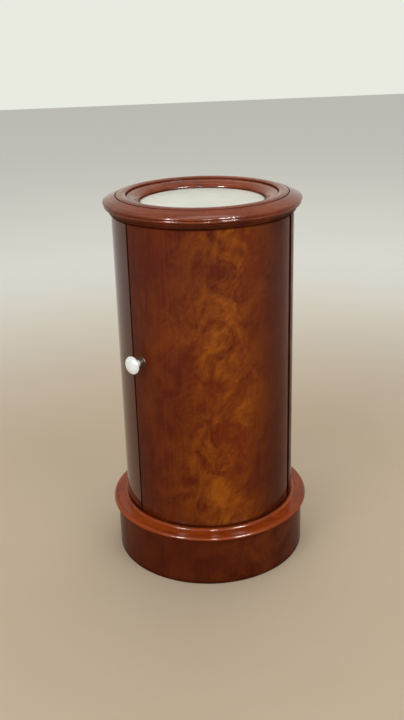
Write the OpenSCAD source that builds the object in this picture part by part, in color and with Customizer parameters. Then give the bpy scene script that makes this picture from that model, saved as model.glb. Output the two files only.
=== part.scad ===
// Cylindrical bedside pot cupboard: a coopered drum in figured mahogany on a turned base,
// with a curved door hung on centre pins, a shelf inside and a marble let into the top.
// Origin on the axis of the drum at the floor, +Z up, the middle of the door towards -Y.
// The door is hung at +X and its knob is near -X. Lengths in mm, angles in degrees.

/* [Overall] */
// Height from the floor to the crest of the top moulding
total_h = 740; // [660:5:820]
// Diameter of the drum over its veneer
body_d = 344; // [336:1:352]
// Thickness of the coopered wall and of the door, veneer included
wall = 18; // [16:0.5:20]
// Thickness of the show veneer
veneer = 1.5; // [1:0.1:2]

/* [Plinth] */
// Reach of the plinth beyond the drum, over its veneer
plinth_out = 21; // [19:0.5:23]
// Height of the plinth
plinth_h = 104; // [80:2:130]
// Thickness of the plinth's staves
plinth_stave_t = 24; // [20:1:28]
// Number of staves in the plinth
plinth_stave_n = 12; // [10:1:14]
// Height by which the plinth's veneer clears the floor
veneer_foot = 0.5; // [0.3:0.1:1]

/* [Base moulding] */
// Reach of the base moulding's nose beyond the drum
base_out = 29.6; // [28:0.2:32]
// Height of the base moulding
base_h = 13.8; // [13:0.2:16]
// Reach of the base moulding in under the floor board
base_lip = 14; // [13:0.5:20]
// Radius of the bead at the foot of the drum
base_bead_r = 5.2; // [4.6:0.1:5.6]
// Radius of the nose of the base moulding
base_nose_r = 5.3; // [4.5:0.1:5.6]
// Fall of the base moulding's top from the bead to the nose
base_fall = 0.6; // [0.2:0.1:1.4]

/* [Carcase] */
// Angle of the drum that the door opening takes
opening_a = 121; // [110:1:124]
// Number of staves in the carcase wall
stave_n = 12; // [10:1:14]
// Width of the solid stile behind the hinge edge
hinge_stile_w = 30; // [26:1:36]
// Width of the solid stile at the latch edge
latch_stile_w = 24; // [22:1:30]
// Thickness of the floor board and of the top board
board_t = 14; // [12:1:16]
// Thickness of the shelf
shelf_t = 12; // [10:1:14]
// Height of the shelf's underside above the floor
shelf_z = 395; // [370:5:410]
// Height of the bearers, the door stops and the upper glue blocks
block_h = 14; // [12:1:18]
// Thickness of the bearers, the door stops and the glue blocks
block_t = 12; // [10:1:14]

/* [Top] */
// Reach of the top moulding's nose beyond the drum
ring_out = 15; // [13:0.5:17]
// Height of the top moulding
ring_h = 32; // [32:0.5:36]
// Thickness of the marble
marble_t = 14; // [12:1:18]
// Width of the outer nose of the top moulding
nose_w = 23.5; // [22:0.5:26]
// Width of each quirk between the mouldings
quirk_w = 2; // [1.5:0.1:2.5]
// Width of the middle bead
mid_w = 18; // [15:0.5:20]
// Width of the inner roll, which falls to the marble
roll_w = 23.5; // [22:0.5:26]

/* [Door] */
// Gap between the door and the latch stile
door_gap = 1.6; // [1.2:0.1:2]
// Gap between the door's round edge and the coved stile
hinge_gap = 1.5; // [1.2:0.1:2]
// Gap over the door
head_gap = 1.7; // [1.2:0.1:2.4]
// Gap under the door, filled by the thrust washer at the pin
foot_gap = 1.7; // [1.2:0.1:2.4]
// Width of the solid stiles at both edges of the door
door_stile_w = 44; // [42:1:50]
// Number of staves between the door's stiles
door_stave_n = 5; // [4:1:7]

/* [Centre-pin hinges] */
// Depth of the pins' axis under the door's face
pin_depth = 6.5; // [6:0.1:7]
// Distance from the pins' axis to the edge of the door, along the face
pin_in = 10; // [9.5:0.1:11]
// Diameter of the pins
pin_d = 4.5; // [4:0.1:5]
// Length of pin inside the door
pin_reach = 12; // [10:1:16]
// Thickness of the hinge plates
plate_t = 2; // [1.6:0.1:2.4]
// Distance from the pins' axis to the far screw of a plate
plate_l = 25; // [23:0.5:26]
// Diameter of the thrust washer
washer_d = 11; // [9:0.5:13]

/* [Knob and latch] */
// Height of the knob above the floor
knob_z = 448; // [440:1:470]
// Distance from the knob's axis to the latch edge, along the face
knob_in = 26; // [25:0.5:28]
// Diameter of the porcelain head
head_d = 34.5; // [30:0.5:38]
// Distance that the knob stands out of the door
knob_out = 33; // [31:0.5:36]
// Diameter of the rose
rose_d = 19; // [18:0.5:21]
// Diameter of the spindle
spindle_d = 7; // [6:0.1:7.4]
// Length of the latch tongue from the spindle's axis
tongue_l = 34; // [33:0.5:36]
// Width of the latch tongue
tongue_w = 12; // [10:0.5:14]
// Thickness of the latch tongue
tongue_t = 2.5; // [2:0.1:3]
// Diameter of the back plate inside the door
back_plate_d = 20; // [18:0.5:22]

/* [Hidden] */
$fn = 180;

// Clearances
press_fit = 0.02;   // fixed metal in its hole, and blocks against a curved wall
run_fit = 0.05;     // turning metal in its bore
pin_hole_fit = 0.6; // pin in the wood behind its plate
screw_fit = 0.05;   // screw in its wood
board_fit = 0.15;   // edge of a board in the drum
board_set = 1.5;    // board edge behind the inside of the door
stop_gap = 0.3;     // door stop to the inside of the door
turn_gap = 0.3;     // end play of the knob
marble_fit = 0.4;   // marble in its opening
tongue_gap = 0.8;   // turned tongue to the inside of the drum
glue_line = 0.1;    // joint between two staves
head_sink = 0.4;    // screw head under a curved face

// Colours as the photograph shows them
mahogany = "#5f2a1b";
red_mahogany = "#7a3a24";
pine = "#b98a58";
old_brass = "#8a6a36";
steel = "#77736c";
marble_white = "#dcd9d2";
porcelain = "#f1efe8";

// Arc length on a radius, as an angle
function arc_a(length, r) = length / r * 180 / PI;
// Depth of a circle's edge behind its tangent, at half a chord from the middle
function sagitta(r, half_chord) = r - sqrt(r * r - half_chord * half_chord);

// Radii and levels
body_r = body_d / 2;
core_r = body_r - veneer;
in_r = body_r - wall;
plinth_r = body_r + plinth_out;
plinth_core_r = plinth_r - veneer;
plinth_in_r = plinth_core_r - plinth_stave_t;
base_r = body_r + base_out;
base_hole_r = in_r - base_lip;
floor_z = plinth_h + base_h;
ring_z = total_h - ring_h;
board_r = in_r - board_fit;
door_z0 = floor_z + foot_gap;
door_z1 = ring_z - head_gap;
wall_h = ring_z - floor_z;
door_h = door_z1 - door_z0;

// Angles, counted anticlockwise from +X; the front of the drum is at -90
a_front = -90;
a_hinge = a_front + opening_a / 2;
a_latch = a_front - opening_a / 2;
a_wall_0 = a_hinge + arc_a(hinge_stile_w, body_r);
a_wall_1 = a_latch + 360 - arc_a(latch_stile_w, body_r);
stave_a = (a_wall_1 - a_wall_0) / stave_n;
a_door_0 = a_latch + arc_a(door_gap, body_r);
a_door_1 = a_door_0 + arc_a(door_stile_w, body_r);
a_door_2 = a_hinge - arc_a(door_stile_w, body_r);
door_stave_a = (a_door_2 - a_door_1) / door_stave_n;

// Pins: the door's edge is rounded about them and the stile behind is coved
pin_r = pin_d / 2;
pivot_r = body_r - pin_depth;
a_pivot = a_hinge - arc_a(pin_in, pivot_r);
door_end_r = sqrt(pin_depth * pin_depth + pin_in * pin_in);
stile_cove_r = door_end_r + hinge_gap;
cove_start_a = 1;          // the carcase is drawn from here, inside the cove
plate_w = 2 * (pin_depth - veneer - 0.5);
plate_lean = asin(plate_l / 2 / pivot_r);
plate_screw_l = 12;
plate_screw_at = [plate_l / 2 + 0.5, plate_l];

// Screws: [length, shank radius, head radius]
long_screw = [42, 2.2, 4];
board_screw = [22, 1.8, 3.5];
ring_screw = [board_t + 12, 1.8, 3.5];
bearer_screw = [block_t + 10, 1.6, 3];
plate_screw = [plate_screw_l - 1, 1.4, 2.9];
keeper_screw = [11, 1.3, 2.6];
slot_w = 0.8;

// Places of the screws and blocks round the drum
long_screw_r = in_r + 8;
floor_screw_r = (base_hole_r + board_r) / 2;
ring_screw_r = board_r - 8;
screwed_staves = [for (i = [0 : 5]) floor((i + 0.5) * stave_n / 6)];
floor_screw_as = [45, 135, 225, 315];
ring_screw_as = [-120, -60, 30, 70, 110, 150];
top_block_as = [10, 50, 90, 130, 170];
bearer_as = [10, 90, 170];
plinth_block_n = 8;
plinth_block_h = 30;
plinth_block_t = block_t + 3;
bearer_half_a = 18;
bearer_screw_a = 11;
block_half_a = 9;
plinth_block_half_a = 7;
stop_a0 = a_latch + 2;
stop_a1 = a_latch + 12;

// Top moulding, section drawn from its underside
ring_r = body_r + ring_out;
edge_r = 2.6;              // rounded edge of the nose
edge_x = ring_r - edge_r;
edge_y = ring_h - 13.8;
edge_clip_x = edge_x + edge_r / 3;
crown_r = 110;             // long gentle fall of the nose
crown_x = ring_r - 53.8;
crown_y = ring_h - 108.3;
nose_x = ring_r - nose_w;
bead_r = 3.7;              // bead under the nose
bead_x = ring_r - 5.4;
bead_y = edge_y - 5.6;
under_quirk_x = ring_r - 2.9;
nose_y = bead_y + 0.7 * bead_r;
core_x = bead_x - bead_r / 2;
under_cove_r = 5.4;        // cove between the bead and the foot
foot_x = ring_r - 11;      // outer edge of the underside
foot_h = bead_y - bead_r - under_cove_r;
mid_x1 = nose_x - quirk_w;
mid_x0 = mid_x1 - mid_w;
roll_x1 = mid_x0 - quirk_w;
open_r = roll_x1 - roll_w; // opening that holds the marble
mid_rise = 2;
mid_r = (mid_w * mid_w / 4 + mid_rise * mid_rise) / (2 * mid_rise);
roll_r = 8.5;              // steep foot of the roll, beside the marble
roll_y = ring_h - 17.7;
roll_crest = ring_h - 5;
roll_top_x = roll_x1 - 1;
roll_run = roll_top_x - open_r - roll_r;
roll_rise = roll_crest - roll_y;
roll_meet_r = roll_r - 0.09;   // the broad top crosses the foot, clear of a tangent
roll_top_r = (roll_run * roll_run + roll_rise * roll_rise - roll_meet_r * roll_meet_r)
    / (2 * (roll_rise - roll_meet_r));
roll_top_y = roll_crest - roll_top_r;
roll_clip_x = open_r + roll_r - roll_r * roll_run / (roll_top_r - roll_meet_r);
outer_quirk_y = ring_h - 5;
inner_quirk_y = ring_h - 8;
core_y = inner_quirk_y - 3;
lap = 1.5;                 // overlap of one member of the section with the next
arc_in = 0.6;              // distance from an arc's tangent point to where it is joined

// Marble
marble_r = open_r - marble_fit;
marble_arris = 1.2;

// Base moulding, section
base_seat_r = body_r - 0.5;    // edge of the seat that carries the drum
base_recess_h = 2.6;           // the bead's top lies this far below the seat
base_bead_x = body_r + 1;
base_bead_z = floor_z - base_recess_h - base_bead_r;
base_slope_z = base_bead_z + 0.5;
base_nose_x = base_r - base_nose_r;
base_nose_z = base_slope_z - base_fall - base_nose_r;

// Knob: the local z axis runs outwards from the face of the door
a_knob = a_latch + arc_a(knob_in, body_r);
spindle_r = spindle_d / 2;
rose_t = 2.2;
rose_edge = 1;
ferrule_z0 = rose_t + turn_gap;
ferrule_z1 = 10;
ferrule_r = 5.2;
ferrule_bead_r = 1.5;
neck_r = 6.2;
knob_rim_r = 3.6;
knob_rim_z = knob_out - 8.2;
knob_dome_r = (pow(head_d / 2 - knob_rim_r / 3, 2) + 49) / 14;
knob_bore_z = 21;
knob_flare_r = 9;
back_plate_r = back_plate_d / 2;
back_plate_z1 = -wall - sagitta(in_r, back_plate_r) - press_fit;
back_plate_t = 2;
back_plate_z0 = back_plate_z1 - back_plate_t;
tongue_z1 = sqrt(pow(in_r - tongue_gap, 2) - tongue_l * tongue_l) - body_r;
tongue_z0 = tongue_z1 - tongue_t;
tongue_eye_r = tongue_w / 2 + 2;
nut_r = 5;
nut_h = 4;
nut_bore_r = 2.5;
spindle_end = tongue_z0 - nut_h - 0.8;
spindle_hole_r = spindle_r + 0.7;
rose_pin_r = 0.75;
rose_pin_at = rose_d / 2 - 2.6;
rose_pin_depth = 7;
washer_r = washer_d / 2;

// Keeper
keeper_t = 1.2;
keeper_h = 40;
keeper_a0 = a_latch - arc_a(16, in_r);
keeper_a1 = a_latch - 0.3;
keeper_screw_dz = 14;

// ---------- plan shapes ----------

module sector(a0, a1) {
    far = base_r * 1.3;
    n = 12;
    polygon(concat([[0, 0]],
        [for (i = [0 : n]) let (a = a0 + (a1 - a0) * i / n) [far * cos(a), far * sin(a)]]));
}

module annulus(r0, r1) {
    difference() {
        circle(r = r1);
        circle(r = r0);
    }
}

module band(r0, r1, a0, a1) {
    intersection() {
        annulus(r0, r1);
        sector(a0, a1);
    }
}

module at_pivot() {
    rotate([0, 0, a_pivot]) translate([pivot_r, 0]) children();
}

module carcase_plan(r0, r1) {
    difference() {
        band(r0, r1, a_pivot + cove_start_a, a_latch + 360);
        at_pivot() circle(r = stile_cove_r);
    }
}

// One stave of a coopered wall, its neighbour's glue line left free
module stave_plan(r0, r1, a0, a) {
    band(r0, r1, a0, a0 + a - arc_a(glue_line, r1));
}

module door_plan(r0, r1) {
    band(r0, r1, a_door_0, a_pivot);
    intersection() {
        annulus(r0, r1);
        at_pivot() circle(r = door_end_r);
    }
}

// A board fills the drum and is set back behind the door
module board_plan() {
    difference() {
        circle(r = board_r);
        intersection() {
            annulus(in_r - board_set, in_r + board_set);
            sector(a_latch - 1, a_hinge + 4);
        }
    }
}

module slab(z0, h) {
    translate([0, 0, z0]) linear_extrude(height = h) children();
}

// ---------- fasteners ----------

// Countersunk screw, its head in the plane z = 0 and its point down
module screw(s) {
    difference() {
        rotate_extrude($fn = 48) polygon([[0, 0], [s[2], 0], [s[1], s[1] - s[2]],
            [s[1], 2 - s[0]], [0, -s[0]]]);
        translate([-s[2] - 1, -slot_w / 2, -slot_w]) cube([2 * s[2] + 2, slot_w, 2 * slot_w]);
    }
}

module screw_hole(s) {
    rotate_extrude($fn = 48) polygon([[0, 1], [s[2] + screw_fit, 1], [s[2] + screw_fit, 0],
        [s[1] + screw_fit, s[1] - s[2]], [s[1] + screw_fit, -s[0] - screw_fit],
        [0, -s[0] - screw_fit]]);
}

// Screws driven upwards from the level z, on radius r
module driven_up(angle_list, r, z) {
    for (a = angle_list) rotate([0, 0, a]) translate([r, 0, z]) rotate([180, 0, 0]) children();
}

module at_long_screws() {
    driven_up([for (i = screwed_staves) a_wall_0 + (i + 0.5) * stave_a], long_screw_r, plinth_h)
        children();
}

module at_floor_screws() {
    driven_up(floor_screw_as, floor_screw_r, plinth_h) children();
}

module at_ring_screws() {
    driven_up(ring_screw_as, ring_screw_r, ring_z - board_t) children();
}

module at_bearer_screws() {
    for (a = bearer_as, s = [-1, 1])
        rotate([0, 0, a + s * bearer_screw_a])
            translate([board_r - block_t + head_sink, 0, shelf_z - block_h / 2])
                rotate([0, -90, 0]) children();
}

module at_keeper_screws() {
    for (s = [-1, 1])
        rotate([0, 0, (keeper_a0 + keeper_a1) / 2])
            translate([in_r, 0, knob_z + s * keeper_screw_dz]) rotate([0, -90, 0]) children();
}

// ---------- centre-pin hinges ----------

module along_plate() {
    at_pivot() rotate([0, 0, -plate_lean]) children();
}

module plate_plan(grow = 0) {
    along_plate() {
        circle(r = plate_w / 2 + grow);
        translate([-plate_w / 2 - grow, -plate_l]) square([plate_w + 2 * grow, plate_l]);
        translate([0, -plate_l]) circle(r = plate_w / 2 + grow);
    }
}

module at_plate_screws() {
    along_plate() for (d = plate_screw_at) translate([0, -d, 0]) children();
}

module pivot_plate(z0, hole_r, heads_z, flip) {
    difference() {
        slab(z0, plate_t) plate_plan();
        slab(z0 - 1, plate_t + 2) at_pivot() circle(r = hole_r);
        translate([0, 0, heads_z]) at_plate_screws() rotate([flip, 0, 0]) screw_hole(plate_screw);
    }
}

module plate_seat(z0, heads_z, flip) {
    slab(z0, plate_t) plate_plan(press_fit);
    translate([0, 0, heads_z]) at_plate_screws() rotate([flip, 0, 0]) screw_hole(plate_screw);
}

// ---------- base ----------

module plinth_staves() {
    color(pine) for (i = [0 : plinth_stave_n - 1])
        slab(0, plinth_h)
            stave_plan(plinth_in_r, plinth_core_r, i * 360 / plinth_stave_n,
                360 / plinth_stave_n);
}

module plinth_veneer() {
    color(mahogany) slab(veneer_foot, plinth_h - veneer_foot) annulus(plinth_core_r, plinth_r);
}

module plinth_glue_blocks() {
    color(pine) for (i = [0 : plinth_block_n - 1]) let (a = (i + 0.5) * 360 / plinth_block_n)
        slab(plinth_h - plinth_block_h, plinth_block_h)
            band(plinth_in_r - plinth_block_t, plinth_in_r - press_fit,
                a - plinth_block_half_a, a + plinth_block_half_a);
}

// Section of the base moulding: a raised seat, a bead below it round the foot of the drum,
// then a gentle fall to the rounded nose. Each arc starts inside the polygon.
module base_section() {
    nose_edge = base_nose_x + arc_in;
    polygon([[base_hole_r, plinth_h], [nose_edge, plinth_h], [nose_edge, base_slope_z - base_fall],
        [base_seat_r, base_slope_z], [base_seat_r, floor_z], [base_hole_r, floor_z]]);
    intersection() {
        translate([base_bead_x, base_bead_z]) circle(r = base_bead_r);
        translate([base_seat_r - 1, base_slope_z - 2]) square(2 * base_bead_r);
    }
    intersection() {
        translate([base_nose_x, base_nose_z]) circle(r = base_nose_r);
        translate([base_nose_x + arc_in / 2, plinth_h]) square([base_nose_r, base_h]);
    }
}

module base_moulding() {
    color(red_mahogany) difference() {
        rotate_extrude() base_section();
        plate_seat(floor_z - plate_t, floor_z, 0);
        at_long_screws() screw_hole(long_screw);
        at_floor_screws() screw_hole(board_screw);
    }
}

module base_screws() {
    color(steel) at_long_screws() screw(long_screw);
}

module floor_screws() {
    color(steel) at_floor_screws() screw(board_screw);
}

// ---------- carcase ----------

module floor_board() {
    color(pine) difference() {
        slab(floor_z, board_t) board_plan();
        at_floor_screws() screw_hole(board_screw);
    }
}

module carcase_staves() {
    color(pine) difference() {
        for (i = [0 : stave_n - 1])
            slab(floor_z, wall_h)
                stave_plan(in_r, core_r, a_wall_0 + i * stave_a, stave_a);
        at_long_screws() screw_hole(long_screw);
        at_bearer_screws() screw_hole(bearer_screw);
    }
}

// Solid stile behind the hinge edge, coved to let the door's round edge turn
module hinge_stile() {
    color(mahogany) slab(floor_z, wall_h) intersection() {
        carcase_plan(in_r, core_r);
        sector(a_pivot, a_wall_0);
    }
}

module latch_stile() {
    color(mahogany) difference() {
        slab(floor_z, wall_h) band(in_r, core_r, a_wall_1 - 360, a_latch);
        slab(knob_z - keeper_h / 2, keeper_h)
            band(in_r - 1, in_r + keeper_t, keeper_a0, keeper_a1);
        at_keeper_screws() screw_hole(keeper_screw);
    }
}

module carcase_veneer() {
    color(mahogany) slab(floor_z, wall_h) carcase_plan(core_r, body_r);
}

module shelf() {
    color(pine) slab(shelf_z, shelf_t) board_plan();
}

module shelf_bearers() {
    color(pine) difference() {
        for (a = bearer_as)
            slab(shelf_z - block_h, block_h)
                band(board_r - block_t, in_r - press_fit, a - bearer_half_a, a + bearer_half_a);
        at_bearer_screws() screw_hole(bearer_screw);
    }
}

module bearer_screws() {
    color(steel) at_bearer_screws() screw(bearer_screw);
}

module top_board() {
    color(pine) difference() {
        slab(ring_z - board_t, board_t) board_plan();
        at_ring_screws() screw_hole(ring_screw);
    }
}

module top_glue_blocks() {
    color(pine) for (a = top_block_as)
        slab(ring_z - board_t - block_h, block_h)
            band(board_r - block_t, in_r - press_fit, a - block_half_a, a + block_half_a);
}

// Blocks at the latch side that the closed door comes to rest on
module door_stops() {
    color(pine) for (z = [floor_z + board_t, ring_z - board_t - block_h])
        slab(z, block_h) band(in_r - stop_gap - block_t, in_r - stop_gap, stop_a0, stop_a1);
}

module keeper_plate() {
    color(old_brass) difference() {
        slab(knob_z - keeper_h / 2, keeper_h) band(in_r, in_r + keeper_t, keeper_a0, keeper_a1);
        at_keeper_screws() screw_hole(keeper_screw);
    }
}

module keeper_screws() {
    color(old_brass) at_keeper_screws() screw(keeper_screw);
}

// ---------- top ----------

// Section of the turned top. The core carries the foot, its cove and both quirk bottoms.
// The bead, the nose with its rounded edge, the middle bead and the roll are laid over it.
module ring_section() {
    difference() {
        polygon([[open_r, 0], [core_x, 0], [core_x, edge_y],
            [nose_x + lap, edge_y], [nose_x + lap, outer_quirk_y],
            [mid_x1 - lap, outer_quirk_y], [mid_x1 - lap, core_y],
            [mid_x0 + lap, core_y], [mid_x0 + lap, inner_quirk_y],
            [roll_x1 - lap, inner_quirk_y], [roll_x1 - lap, core_y],
            [open_r + roll_r / 2, core_y], [open_r + 2 * lap, roll_y + 2 * arc_in],
            [open_r, roll_y + 2 * arc_in]]);
        translate([foot_x + under_cove_r, foot_h]) circle(r = under_cove_r);
        translate([foot_x + 0.15, -1]) square([ring_r, foot_h]);
    }
    translate([bead_x, bead_y]) circle(r = bead_r);
    translate([edge_x, edge_y]) circle(r = edge_r);
    intersection() {
        translate([crown_x, crown_y]) circle(r = crown_r);
        polygon([[nose_x, nose_y], [under_quirk_x, nose_y], [under_quirk_x, edge_y],
            [edge_clip_x, edge_y], [edge_clip_x, ring_h], [nose_x, ring_h]]);
    }
    intersection() {
        translate([(mid_x0 + mid_x1) / 2, ring_h - mid_r]) circle(r = mid_r);
        translate([mid_x0, core_y - 1]) square([mid_w, ring_h]);
    }
    intersection() {
        translate([open_r + roll_r, roll_y]) circle(r = roll_r);
        translate([open_r - 1, roll_y + arc_in]) square([roll_w + 1, roll_r]);
    }
    intersection() {
        translate([roll_top_x, roll_top_y]) circle(r = roll_top_r);
        translate([roll_clip_x, roll_y + arc_in]) square([roll_x1 - roll_clip_x, ring_h]);
    }
}

module top_ring() {
    color(red_mahogany) difference() {
        translate([0, 0, ring_z]) rotate_extrude() ring_section();
        plate_seat(ring_z, ring_z, 180);
        at_ring_screws() screw_hole(ring_screw);
    }
}

module ring_screws() {
    color(steel) at_ring_screws() screw(ring_screw);
}

module marble_top() {
    color(marble_white) translate([0, 0, ring_z]) rotate_extrude() {
        square([marble_r - marble_arris, marble_t]);
        square([marble_r, marble_t - marble_arris]);
        translate([marble_r - marble_arris, marble_t - marble_arris]) circle(r = marble_arris);
    }
}

// ---------- hinge metal on the carcase ----------

module lower_pivot_plate() {
    color(old_brass) pivot_plate(floor_z - plate_t, pin_r + press_fit, floor_z, 0);
}

module upper_pivot_plate() {
    color(old_brass) pivot_plate(ring_z, pin_r + press_fit, ring_z, 180);
}

module lower_pin() {
    color(steel) slab(floor_z - plate_t, plate_t + foot_gap + pin_reach) at_pivot()
        circle(r = pin_r);
}

module upper_pin() {
    color(steel) slab(door_z1 - pin_reach, plate_t + head_gap + pin_reach) at_pivot()
        circle(r = pin_r);
}

module thrust_washer() {
    color(old_brass) slab(floor_z, foot_gap - run_fit) at_pivot() difference() {
        circle(r = washer_r);
        circle(r = pin_r + run_fit);
    }
}

module pivot_plate_screws() {
    color(old_brass) {
        translate([0, 0, floor_z]) at_plate_screws() screw(plate_screw);
        translate([0, 0, ring_z]) at_plate_screws() rotate([180, 0, 0]) screw(plate_screw);
    }
}

// ---------- door ----------

module door_pin_holes() {
    depth = pin_reach + 2;
    slab(door_z0 - 1, depth + 1) at_pivot() circle(r = pin_r + pin_hole_fit);
    slab(door_z1 - depth, depth + 1) at_pivot() circle(r = pin_r + pin_hole_fit);
}

module door_staves() {
    color(pine) for (i = [0 : door_stave_n - 1])
        slab(door_z0, door_h)
            stave_plan(in_r, core_r, a_door_1 + i * door_stave_a, door_stave_a);
}

// Solid edge of the door on the pins, rounded about their axis
module door_hanging_stile() {
    color(mahogany) difference() {
        slab(door_z0, door_h) intersection() {
            door_plan(in_r, core_r);
            sector(a_door_2, a_hinge + 5);
        }
        plate_seat(door_z0, door_z0, 180);
        plate_seat(door_z1 - plate_t, door_z1, 0);
        door_pin_holes();
    }
}

module door_closing_stile() {
    color(mahogany) difference() {
        slab(door_z0, door_h) band(in_r, core_r, a_door_0, a_door_1);
        at_knob() spindle_and_pin_holes();
    }
}

module door_veneer() {
    color(mahogany) difference() {
        slab(door_z0, door_h) door_plan(core_r, body_r);
        at_knob() spindle_and_pin_holes();
    }
}

module lower_door_plate() {
    color(old_brass) pivot_plate(door_z0, pin_r + run_fit, door_z0, 180);
}

module upper_door_plate() {
    color(old_brass) pivot_plate(door_z1 - plate_t, pin_r + run_fit, door_z1, 0);
}

module door_plate_screws() {
    color(old_brass) {
        translate([0, 0, door_z0]) at_plate_screws() rotate([180, 0, 0]) screw(plate_screw);
        translate([0, 0, door_z1]) at_plate_screws() screw(plate_screw);
    }
}

// ---------- knob and latch ----------

module at_knob() {
    rotate([0, 0, a_knob]) translate([body_r, 0, knob_z]) rotate([0, 90, 0]) children();
}

module tube(z0, z1, r0, r1) {
    slab(z0, z1 - z0) annulus(r0, r1, $fn = 96);
}

module at_rose_pins() {
    for (s = [-1, 1]) translate([s * rose_pin_at, 0, 0]) children();
}

module spindle_and_pin_holes() {
    slab(-wall - 2, wall + 4) circle(r = spindle_hole_r);
    at_rose_pins() slab(-rose_pin_depth, rose_pin_depth + 2) circle(r = rose_pin_r + press_fit);
}

module knob_rose() {
    color(old_brass) at_knob() difference() {
        rotate_extrude($fn = 96) {
            translate([spindle_r + run_fit, press_fit])
                square([rose_d / 2 - spindle_r - run_fit, rose_edge]);
            translate([spindle_r + run_fit, press_fit])
                square([rose_d / 2 - rose_edge - spindle_r, rose_t - press_fit - 0.4]);
            translate([rose_d / 2 - rose_edge, rose_edge]) intersection() {
                circle(r = rose_edge);
                square(rose_edge);
            }
            translate([spindle_r + run_fit, press_fit]) square([3, rose_t - press_fit]);
        }
        at_rose_pins() slab(0, rose_t + 1) circle(r = rose_pin_r + press_fit, $fn = 32);
    }
}

module rose_pins() {
    color(old_brass) at_knob() at_rose_pins()
        slab(-rose_pin_depth + 0.1, rose_pin_depth + rose_t - 0.1) circle(r = rose_pin_r, $fn = 32);
}

module spindle_back_plate() {
    color(old_brass) at_knob()
        tube(back_plate_z0, back_plate_z1, spindle_r + run_fit, back_plate_r);
}

// Mushroom head: a domed face over a round rim, drawn in to a slim neck
module knob_head() {
    rim_x = head_d / 2 - knob_rim_r;
    color(porcelain) at_knob() rotate_extrude($fn = 96) difference() {
        union() {
            intersection() {
                translate([0, knob_out - knob_dome_r]) circle(r = knob_dome_r);
                translate([0, knob_rim_z]) square([rim_x + knob_rim_r / 2, knob_out]);
            }
            translate([rim_x, knob_rim_z]) circle(r = knob_rim_r);
            translate([0, knob_rim_z - knob_rim_r]) square([rim_x, knob_rim_r + 1]);
            difference() {
                translate([0, ferrule_z1])
                    square([neck_r + knob_flare_r, knob_rim_z - knob_rim_r - ferrule_z1 + 1]);
                translate([neck_r + knob_flare_r, knob_rim_z - knob_rim_r - knob_flare_r + 0.2])
                    circle(r = knob_flare_r);
                translate([neck_r, ferrule_z1 - 1])
                    square([knob_flare_r + 1, knob_rim_z - knob_rim_r - knob_flare_r
                        - ferrule_z1 + 1.2]);
            }
        }
        square([spindle_r + press_fit, knob_bore_z + 0.3]);
    }
}

module knob_ferrule() {
    color(old_brass) at_knob() rotate_extrude($fn = 96) difference() {
        union() {
            translate([0, ferrule_z0]) square([ferrule_r, ferrule_z1 - ferrule_z0]);
            translate([ferrule_r, ferrule_z0 + ferrule_bead_r]) circle(r = ferrule_bead_r);
            translate([ferrule_r, ferrule_z1 - ferrule_bead_r / 2]) circle(r = ferrule_bead_r / 2);
        }
        square([spindle_r + press_fit, 2 * ferrule_z1]);
    }
}

module knob_spindle() {
    color(steel) at_knob() {
        slab(tongue_z0, knob_bore_z - tongue_z0) circle(r = spindle_r);
        slab(spindle_end, tongue_z0 - spindle_end) circle(r = nut_bore_r);
    }
}

module spindle_washer() {
    color(old_brass) at_knob()
        tube(tongue_z1, back_plate_z0 - turn_gap, spindle_r + press_fit, spindle_r + 3);
}

// Stands upright when the door is free, and turns through a quarter to catch the keeper
module latch_tongue() {
    color(old_brass) at_knob() slab(tongue_z0, tongue_t) difference() {
        union() {
            circle(r = tongue_eye_r);
            translate([-tongue_l + tongue_w / 2, -tongue_w / 2])
                square([tongue_l - tongue_w / 2, tongue_w]);
            translate([-tongue_l + tongue_w / 2, 0]) circle(r = tongue_w / 2);
        }
        circle(r = spindle_r + press_fit);
    }
}

module tongue_nut() {
    color(old_brass) at_knob() slab(tongue_z0 - nut_h, nut_h - press_fit) difference() {
        circle(r = nut_r, $fn = 6);
        circle(r = nut_bore_r + press_fit);
    }
}

plinth_staves();
plinth_veneer();
plinth_glue_blocks();
base_moulding();
floor_board();
carcase_staves();
hinge_stile();
latch_stile();
carcase_veneer();
shelf();
shelf_bearers();
top_board();
top_glue_blocks();
door_stops();
top_ring();
marble_top();
base_screws();
floor_screws();
ring_screws();
bearer_screws();
lower_pivot_plate();
upper_pivot_plate();
lower_pin();
upper_pin();
thrust_washer();
pivot_plate_screws();
keeper_plate();
keeper_screws();
door_staves();
door_hanging_stile();
door_closing_stile();
door_veneer();
lower_door_plate();
upper_door_plate();
door_plate_screws();
knob_rose();
rose_pins();
spindle_back_plate();
knob_head();
knob_ferrule();
knob_spindle();
spindle_washer();
latch_tongue();
tongue_nut();
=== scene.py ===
# %% [markdown]
# # A round bedside cupboard in polished mahogany
# The solid model is already built and packed. This lesson dresses it: it finds the packed
# solids, sets up a camera and plain studio light, builds every finish out of shader nodes and
# adds the few small pieces that are better made as meshes. Everything is in metres. The drum
# stands on its own axis at the origin, and the middle of its door faces -Y.

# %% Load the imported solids
import math

import bmesh
import bpy
from mathutils import Matrix, Vector


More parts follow.
